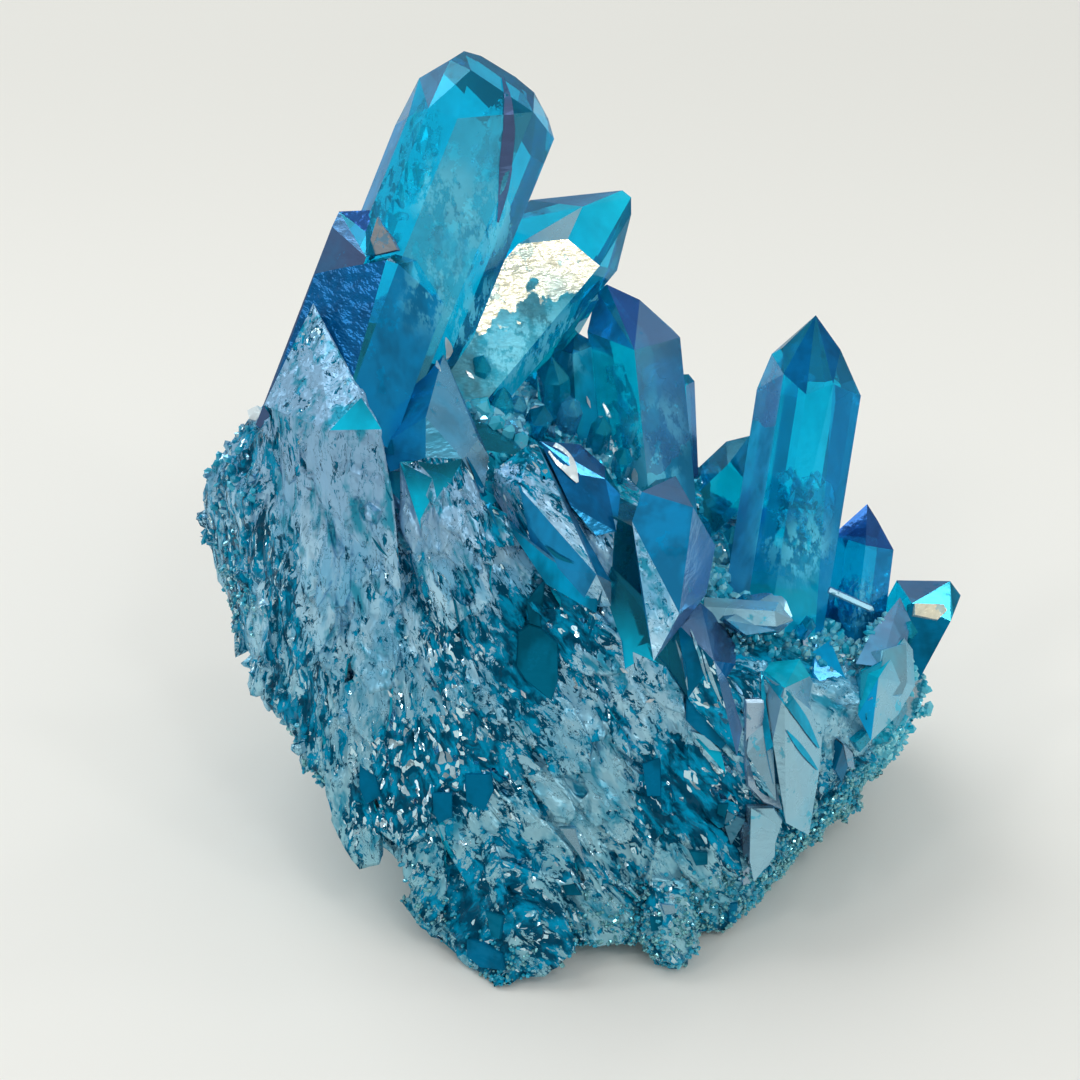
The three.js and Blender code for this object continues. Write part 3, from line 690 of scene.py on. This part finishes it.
def add_body():
    """The whole cluster: flat clear crystals, and a root broken into tilted plates."""
    points, triangles = cad_triangles(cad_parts["quartz_cluster"])
    normals = normals_of(points, triangles)
    clear = crystal_faces(points, triangles, normals)
    looks, edges = seen_faces(points, triangles, normals)
    clear = (clear | (looks >= 0)) & (looks > -2)
    looks = np.maximum(looks, -1)
    # Tag 0 is the root's front, 1 its back, 2 a crystal's face with no look of its own. The looks follow.
    tags = np.where(clear, 3 + looks, np.where(normals @ VIEW_FORWARD < 0.0, 0, 1))
    sizes = np.array([FRONT_EDGE, BACK_EDGE] + [CRYSTAL_EDGE] * (len(LOOKS) + 1))
    points, triangles, tags, edges = refine(points, triangles, tags, edges, sizes)
    count = len(points)
    normals = normals_of(points, triangles)
    corner = np.zeros((count, 3))
    for k in range(3):
        np.add.at(corner, triangles[:, k], normals)
    corner = smoothed(corner, triangles, count, 6)
    corner /= norm(corner, axis=1, keepdims=True) + 1e-12
    fixed = np.zeros(count, bool)
    fixed[triangles[tags >= 2]] = True
    fixed |= points[:, 2] < 0.05
    squeezed = grain_space(points + SHIFT)
    big, big_mark = plates(squeezed, *BIG_PLATES)
    small, small_mark = plates(squeezed, *SMALL_PLATES)
    bend = np.ones(count)
    for k in range(3):
        np.minimum.at(bend, triangles[:, k], (corner[triangles[:, k]] * normals).sum(1))
    # The relief fades out where the surface bends sharply, and stays inside the solid's box.
    relief = np.where(fixed, 0, (big + small - 0.1) * np.clip((bend - 0.1) / 0.5, 0, 1))
    points = np.clip(points + corner * relief[:, None], BOX_LOW, BOX_HIGH)
    rooted = (tags < 2) | (tags == 3 + list(LOOKS).index("streaked"))
    obj = make_mesh("aura_quartz_cluster", points, triangles, rooted.astype(int), tags < 2)
    give(obj, "relief", relief)
    give(obj, "plate", big_mark * 0.5 + small_mark * 0.5)
    give(obj, "cover", film_cover(points + SHIFT))
    give(obj, "grain", squeezed, "POINT", "FLOAT_VECTOR")
    give(obj, "down", depth_down(points + SHIFT))
    give(obj, "foot", bare_ground_and_painted_light_share(points + SHIFT))
    give(obj, "frost", frost_share(points + SHIFT))
    give_looks(obj, [LOOKS["teal"], LOOKS["teal"], LOOKS["azure"], *LOOKS.values()], tags)
    give(obj, "edge", edges * MM, "FACE")
    return obj


def new_material(name):
    material = bpy.data.materials.new(name)
    return material, Tree(material)


def root_material():
    """The opaque root: dark and blue quartz under a pale film with gaps along the grain."""
    material, t = new_material("aura_root")
    place = t.place()
    height = t.part_of(place, 2)
    inside = t.inside()
    foot = t.number("foot")
    plate = t.number("plate")
    grain = t.attribute("grain").outputs["Vector"]
    wander = t.node("ShaderNodeTexNoise", {"Vector": grain, "Scale": 0.5, "Detail": 3.0}).outputs["Color"]
    bent = t.vector("ADD", grain, t.scaled(wander, 2.0))

    # Where the film is: slots and blots of noise, the placed patches, the relief and the plates add up.
    level = t.times(t.minus(t.noise(bent, 1.6, 5.0, 0.7), 0.5), 1.7)
    level = t.add(level, t.times(t.minus(t.noise(bent, 0.26, 3.0, 0.55), 0.5), 0.9))
    level = t.add(level, t.times(t.number("cover"), 1.1))
    level = t.add(level, t.times(t.number("relief"), 0.15))
    level = t.minus(level, t.times(foot, 0.2))
    level = t.add(level, t.times(t.minus(plate, 0.5), 0.16))
    film = t.span(level, -0.03, 0.0)
    folds = t.math("ABSOLUTE", t.minus(t.noise(bent, 0.8, 4.0, 0.6), 0.5))
    film = t.times(film, t.span(folds, 0.003, 0.012, 0.35, 1.0))

    # The quartz under it, with painted light making it brighter between the long crystals where it lies in
    # shade, and small mirror-bright flakes in groups.
    depth = t.span(t.noise(bent, 0.9, 3.0, 0.6), 0.40, 0.64)
    under = t.mix(foot, t.mix(depth, ROOT_DARK, ROOT_BLUE), t.mix(depth, PAINTED_LIT_GROUND_DARK, PAINTED_LIT_GROUND_BLUE))
    cells = t.node("ShaderNodeTexVoronoi", {"Vector": bent, "Scale": 2.8}).outputs["Color"]
    kind = t.node("ShaderNodeSeparateColor", {0: cells}).outputs[0]
    grouped = t.span(t.noise(place, 90.0, 2.0), 0.42, 0.58, 0.99, 0.80)
    spark = t.times(t.math("GREATER_THAN", kind, grouped), t.minus(1.0, film))
    under = t.mix(spark, under, SPARK_WHITE)

    # The film's colour changes from plate to plate, as random tone and as painted reflection of each plate's
    # tilt, with height and with its thickness.
    pale = t.mix(t.span(plate, 0.2, 0.8), FILM_GREY, FILM_PALE)
    pale = t.mix(t.span(height, 0.036, 0.05), pale, FILM_HIGH)
    pale = t.mix(t.times(t.span(height, 0.045, 0.005), 0.6), pale, FILM_LOW)
    pale = t.mix(t.span(t.noise(bent, 0.55, 3.0, 0.6), 0.32, 0.5), FILM_THIN, pale)
    colour = t.mix(inside, t.mix(film, under, pale), ROOT_INSIDE)

    # Flakes tilt the surface, less so under film.
    high = t.add(t.times(film, 0.6), t.times(t.noise(place, 1300.0, 2.0, 0.7), 0.3))
    flakes = t.scaled(t.vector("SUBTRACT", cells, (0.5, 0.5, 0.5)), t.span(film, 0.0, 1.0, 1.0, 0.25))
    normal = t.vector("ADD", t.bump(high, 0.0002, 0.5), flakes)
    normal = t.node("ShaderNodeVectorMath", {0: normal}, operation="NORMALIZE").outputs[0]
    t.end({
        "Base Color": colour,
        "Metallic": t.minus(t.add(t.times(film, 0.5), spark), inside, True),
        "Roughness": t.span(film, 0.0, 1.0, 0.08, 0.34),
        "Specular IOR Level": 0.12,
        "Specular Tint": GLOSS_BLUE,
        "Coat Weight": t.times(film, 0.25),
        "Coat Roughness": 0.05,
        "Normal": normal,
        "Coat Normal": normal,
    })
    return material


def crystal_material():
    """The clear crystals: tinted see-through quartz, part of it under a film that each face sets."""
    material, t = new_material("aura_crystal")
    place = t.place()
    outside = t.minus(1.0, t.inside())
    film = t.attribute("film")
    tint = t.attribute("tint")
    hammer = t.number("hammer")
    streak = t.noise(place, 90.0, 4.0, 0.6)

    # The share of film: streaked, worn in specks, and cut off at a ragged edge on some faces.
    share = t.times(film.outputs["Alpha"], t.span(streak, 0.3, 0.55, 0.55, 1.0))
    worn = t.span(t.noise(place, 420.0, 4.0, 0.65), 0.36, 0.40, 0.3, 1.0)
    share = t.times(share, t.math("MAXIMUM", worn, hammer))
    ragged = t.times(t.minus(t.noise(place, 260.0, 4.0), 0.5), 0.012)
    above = t.minus(t.add(t.part_of(place, 2), ragged), t.number("edge"))
    above = t.span(above, -0.0002, 0.0002)
    share = t.times(share, t.add(t.times(above, 0.92), 0.08))
    share = t.times(share, outside, clamp=True)

    # The quartz below it: clouded where it is frosted, and less clear towards the crystal's foot.
    tall = t.vector("MULTIPLY", place, (1.0, 1.0, 0.5))
    clouds = t.times(t.span(t.noise(tall, 420.0, 4.0, 0.75), 0.44, 0.56), t.number("frost"))
    clouds = t.times(clouds, outside)
    clear = t.span(t.add(t.number("down"), t.times(streak, 0.3)), 0.85, 1.2, 1.0, 0.15)
    clear = t.times(t.times(tint.outputs["Alpha"], clear), t.span(clouds, 0.0, 1.0, 1.0, 0.3))
    dim = t.scaled(tint.outputs["Color"], t.blend(tint.outputs["Alpha"], 0.45, 0.85))
    body = t.mix(t.span(t.noise(tall, 240.0, 3.0, 0.65), 0.38, 0.60), dim, tint.outputs["Color"])
    body = t.mix(clouds, body, CLOUD_BLUE)

    ripple = t.noise(t.vector("MULTIPLY", place, (0.6, 0.6, 1.4)), 700.0, 3.0)
    mottle = t.span(t.noise(place, 160.0, 3.0), 0.4, 0.8, 0.0, 0.08)
    inputs = {
        "Base Color": t.mix(share, body, film.outputs["Color"]),
        "Metallic": t.times(share, 0.85),
        "Roughness": t.add(t.number("rough"), mottle),
        "IOR": QUARTZ_IOR,
        "Specular IOR Level": 0.15,
        "Specular Tint": GLOSS_BLUE,
        "Transmission Weight": clear,
        "Normal": t.bump(ripple, 0.0006, t.add(t.times(hammer, 0.9), 0.01)),
    }
    absorption = {"Color": ABSORPTION_COLOUR, "Density": ABSORPTION_DENSITY}
    t.end(inputs, t.node("ShaderNodeVolumeAbsorption", absorption).outputs[0])
    return material


def add_veils():
    """Crumpled cracks inside the clear crystals, which catch the light."""
    random = np.random.default_rng(5)
    steps = 9
    points, triangles = [], []
    for number, (x, y, z, wide, high, lean) in enumerate(VEILS):
        line = np.linspace(-0.5, 0.5, steps)
        grid = np.stack(np.meshgrid(line, line), -1).reshape(-1, 2)
        round_in = 1 - 0.35 * np.abs(grid[:, ::-1]) * 2
        flat = grid * round_in + random.uniform(-0.04, 0.04, grid.shape)
        side = flat[:, 0] * wide + flat[:, 1] * high * lean
        rough = random.normal(size=len(grid)) * 0.22
        back = rough + y - 0.3 * side + 0.9 * high * flat[:, 1]
        points.append(np.stack([side + x, back, flat[:, 1] * high + z], 1))
        for i, j in itertools.product(range(steps - 1), repeat=2):
            a = number * steps**2 + i * steps + j
            if random.random() < 0.8:
                triangles += [(a, a + 1, a + steps), (a + 1, a + steps + 1, a + steps)]
    obj = make_mesh("inner_cracks", np.concatenate(points) - SHIFT, np.array(triangles))
    material, t = new_material("cracked_quartz")
    holes = t.noise(t.place(), 500.0, 4.0, 0.7)
    t.end({
        "Base Color": t.mix(t.span(holes, 0.4, 0.6), (0.55, 0.90, 1.0, 1), (0.95, 1.0, 1.0, 1)),
        "Metallic": 0.6,
        "Roughness": 0.3,
        "Alpha": t.span(holes, 0.44, 0.52),
    })
    obj.data.materials.append(material)
    return obj


def make_clear(name, corners, faces, looks, material):
    """A mesh of the crystals' material, kept inside the solid's box. Each face has the name of a look."""
    obj = make_mesh(name, np.clip(corners, BOX_LOW, BOX_HIGH), faces)
    names = list(LOOKS)
    give_looks(obj, list(LOOKS.values()), np.array([names.index(look) for look in looks]))
    give(obj, "edge", np.full(len(faces), NO_EDGE * MM), "FACE")
    obj.data.materials.append(material)
    return obj


def add_shards(tree, material):
    """Smooth facets on the broken front, and a painted highlight, as thin slabs with a bevelled edge."""
    widest = 12.0
    corners, faces, looks = [], [], []
    count = 0
    for look, proud, *spots in SHARDS:
        rays = view_rays(spots)
        hits = [tree.ray_cast(Vector(VIEW_PLACE), Vector(ray)) for ray in rays]
        hits = [hit for hit in hits if hit[0] is not None]
        if len(hits) < 3:
            continue
        normal = np.mean([hit[1] for hit in hits], axis=0)
        normal /= norm(normal)
        middle = np.mean([hit[0] for hit in hits], axis=0) + normal * proud
        depths = [(middle - VIEW_PLACE) @ normal / (ray @ normal) for ray in rays]
        outline = np.array([VIEW_PLACE + ray * depth for ray, depth in zip(rays, depths)])
        if norm(outline - middle, axis=1).max() > widest:
            continue
        sides = len(outline)
        inset = outline + (outline.mean(0) - outline) * 0.05
        corners.append(np.concatenate([inset, outline - normal * 0.2, outline - normal * proud * 4]))
        ring = np.arange(sides)
        after = (ring + 1) % sides
        clockwise = np.cross(outline[1] - outline[0], outline[2] - outline[0]) @ normal < 0
        foot = count + 2 * sides
        slab = [(count, count + k, count + k + 1) for k in range(1, sides - 1)]
        slab += [(foot, foot + k + 1, foot + k) for k in range(1, sides - 1)]
        for step in (0, sides):
            here, there = count + step + ring, count + step + after
            slab += [*zip(here, here + sides, there), *zip(there, here + sides, there + sides)]
        slab = np.array(slab)
        faces.append(slab[:, ::-1] if clockwise else slab)
        looks += [look] * len(slab)
        count += 3 * sides
    return make_clear("shards", np.concatenate(corners), np.concatenate(faces), looks, material)


def add_seams(tree, material):
    """Narrow ribbons just above the surface, for cracks, bare edges between films and painted highlights."""
    proud = 0.12
    widest = 3.0
    corners, faces, looks = [], [], []
    for look, width, *spots in SEAMS:
        spots = np.array(spots, float)
        along = np.append(0, np.cumsum(norm(np.diff(spots, axis=0), axis=1)))
        steps = np.linspace(0, along[-1], max(int(along[-1] / 4), 3))
        line = np.stack([np.interp(steps, along, spots[:, k]) for k in range(2)], 1)
        way = np.gradient(line, axis=0)
        across = np.stack([-way[:, 1], way[:, 0]], 1) / norm(way, axis=1, keepdims=True)
        taper = np.sin(np.linspace(0.15, math.pi - 0.15, len(line)))[:, None] * width / 2
        last = None
        for left, right in zip(line - across * taper, line + across * taper):
            hits = [tree.ray_cast(Vector(VIEW_PLACE), Vector(ray)) for ray in view_rays([left, right])]
            if any(hit[0] is None for hit in hits) or (hits[0][0] - hits[1][0]).length > widest:
                last = None
                continue
            start = len(corners)
            corners += [np.array(hit[0] + hit[1] * proud) for hit in hits]
            if last is not None and norm(corners[start] - corners[last]) < widest:
                faces += [(last, last + 1, start + 1), (last, start + 1, start)]
                looks += [look] * 2
            last = start
    return make_clear("seams", np.array(corners), np.array(faces), looks, material)


def six_sides(axis, guide):
    """The angles of six sides, and two directions across the axis."""
    side = np.cross(axis, guide)
    side /= norm(side)
    return np.arange(6) * math.pi / 3, side, np.cross(axis, side)


def point_faces(start):
    """The triangles of a six-sided point whose 13 corners begin at start: foot, shoulder and tip."""
    ring = np.arange(6)
    foot, shoulder = start + ring, start + 6 + ring
    next_foot, next_shoulder = start + (ring + 1) % 6, start + 6 + (ring + 1) % 6
    rows = [
        (foot, next_foot, shoulder), (next_foot, next_shoulder, shoulder),
        (shoulder, next_shoulder, np.full(6, start + 12)),
    ]
    return [np.stack(row, 1) for row in rows]


def add_small_crystals(material):
    """Short six-sided crystals with pointed ends."""
    random = np.random.default_rng(21)
    corners, faces, looks = [], [], []
    for number, (root, tip, radius, look) in enumerate(SMALL):
        root, tip = np.array(root, float), np.array(tip, float)
        axis = (tip - root) / norm(tip - root)
        guide = (0.3, 0.2, 1.0) if abs(axis[2]) < 0.7 else (1.0, 0.3, 0.1)
        turn, side, other = six_sides(axis, guide)
        turn = turn + random.uniform(-0.12, 0.12, 6)
        round_out = radius * (np.cos(turn)[:, None] * side + 0.8 * np.sin(turn)[:, None] * other)
        cut = random.uniform(0.7, 1.2, 6)[:, None] * axis * radius
        start = number * 13
        end = tip[None] + 0.2 * radius * side
        corners.append(np.concatenate([root + round_out, tip - cut + round_out, end]))
        faces += [*point_faces(start), np.array([(start, start + k + 1, start + k) for k in range(1, 5)])]
        looks += [look] * 22
    corners = np.concatenate(corners) - SHIFT
    return make_clear("small_crystals", corners, np.concatenate(faces), looks, material)


def druse_material():
    material, t = new_material("aura_druse")
    place = t.place()
    mark = t.number("mark")
    foot = t.number("foot")
    film = t.span(t.add(t.times(mark, 0.5), t.noise(place, 250.0, 4.0, 0.65)), 0.68, 0.76)
    film = t.times(film, t.span(foot, 0.0, 1.0, 1.0, 0.3))
    quartz = t.mix(mark, (0.0, 0.30, 0.46, 1), (0.04, 0.58, 0.80, 1))
    # Painted light: between the long crystals the druse is coloured brighter than the shade it lies in.
    bright = t.mix(mark, (0.0, 0.50, 0.70, 1), (0.35, 0.90, 1.0, 1))
    pale = t.mix(t.span(t.part_of(place, 2), 0.02, 0.045), FILM_LOW, (0.20, 0.46, 0.66, 1))
    t.end({
        "Base Color": t.mix(film, t.mix(foot, quartz, bright), pale),
        "Metallic": t.span(film, 0.0, 1.0, 0.1, 0.7),
        "Roughness": 0.09,
        "Coat Weight": 0.3,
        "Coat Roughness": 0.03,
    })
    return material


def add_druse(body):
    """Small crystals that crust the root, each a short pointed prism."""
    random = np.random.default_rng(11)
    data = body.data
    points = np.array([v.co for v in data.vertices]) / MM
    triangles = np.array([p.vertices for p in data.polygons if p.material_index == 1])
    a, b, c = (points[triangles[:, k]] for k in range(3))
    middle = (a + b + c) / 3 + SHIFT
    area = norm(np.cross(b - a, c - a), axis=1) / 2
    normals = normals_of(points, triangles)
    corners, faces, marks = [], [], []
    for x, y, z, reach, count, size in DRUSE:
        away = norm(middle - (x, y, z), axis=1)
        share = area * np.exp(-((away / reach) ** 4))
        for pick in random.choice(len(triangles), count, p=share / share.sum()):
            u, v = np.sort(random.random(2))
            foot = a[pick] * u + b[pick] * (v - u) + c[pick] * (1 - v)
            axis = normals[pick] + random.normal(size=3) * 0.4 + (0, 0, 0.15)
            axis /= norm(axis)
            turn, side, other = six_sides(axis, random.normal(size=3))
            wide = size * random.uniform(0.5, 1.2)
            tall = wide * random.uniform(0.4, 1.6)
            turn = turn + random.uniform(-0.15, 0.15, 6)
            thin = random.uniform(0.7, 1.0)
            round_out = wide * (np.cos(turn)[:, None] * side + np.sin(turn)[:, None] * other * thin)
            shoulder = foot + axis * tall
            tip = shoulder + axis * wide * random.uniform(0.5, 1.1) + side * wide * random.uniform(-0.3, 0.3)
            sunk = foot - axis * wide * 0.8
            faces += point_faces(len(corners) * 13)
            corners.append(np.concatenate([sunk + round_out, shoulder + round_out, tip[None]]))
            marks.append(np.full(18, random.random()))
    corners = np.concatenate(corners)
    obj = make_mesh("druse", np.clip(corners, BOX_LOW, BOX_HIGH), np.concatenate(faces))
    give(obj, "mark", np.concatenate(marks), "FACE")
    give(obj, "foot", bare_ground_and_painted_light_share(corners + SHIFT))
    obj.data.materials.append(druse_material())
    return obj


def add_floor():
    size = 2500.0
    points = np.array([[-size, -size, 0], [size, -size, 0], [size, size, 0], [-size, size, 0]])
    floor = make_mesh("floor", points, np.array([[0, 1, 2], [0, 2, 3]]))
    material, t = new_material("table")
    # Painted shade: the table's colour is darker further back.
    away = t.span(t.part_of(t.place(), 1), 0.04, 0.2)
    t.end({"Base Color": t.mix(away, (0.835, 0.835, 0.79, 1), (0.74, 0.74, 0.695, 1)), "Roughness": 0.6})
    floor.data.materials.append(material)


def add_world():
    world = bpy.data.worlds.new("studio")
    scene.world = world
    t = Tree(world)
    rise = t.part_of(t.node("ShaderNodeTexCoord").outputs["Generated"], 2)
    strength = t.span(rise, -0.1, 0.75, STUDIO_LOW, STUDIO_HIGH)
    background = t.node("ShaderNodeBackground", {"Color": (1.0, 1.0, 1.0, 1), "Strength": strength})
    t.node("ShaderNodeOutputWorld", {"Surface": background.outputs[0]})


def as_piece(obj):
    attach(obj, "root")
    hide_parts("quartz_cluster")


scene.view_settings.view_transform = "Standard"
add_camera()
add_world()
add_floor()
for name, (place, target, size, power, colour) in LAMPS.items():
    add_area(name, place, target, size, power, colour)
for number, place in enumerate(GLINTS):
    add_area(f"glint_{number}", place, GLINT_TARGET, GLINT_SIZE, GLINT_POWER, GLINT_COLOUR)

crystal = crystal_material()
body = add_body()
body.data.materials.append(crystal)
body.data.materials.append(root_material())
solid = ray_tree(*cad_triangles(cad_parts["quartz_cluster"]))
as_piece(body)
as_piece(add_shards(solid, crystal))
as_piece(add_seams(solid, crystal))
as_piece(add_small_crystals(crystal))
as_piece(add_veils())
as_piece(add_druse(body))
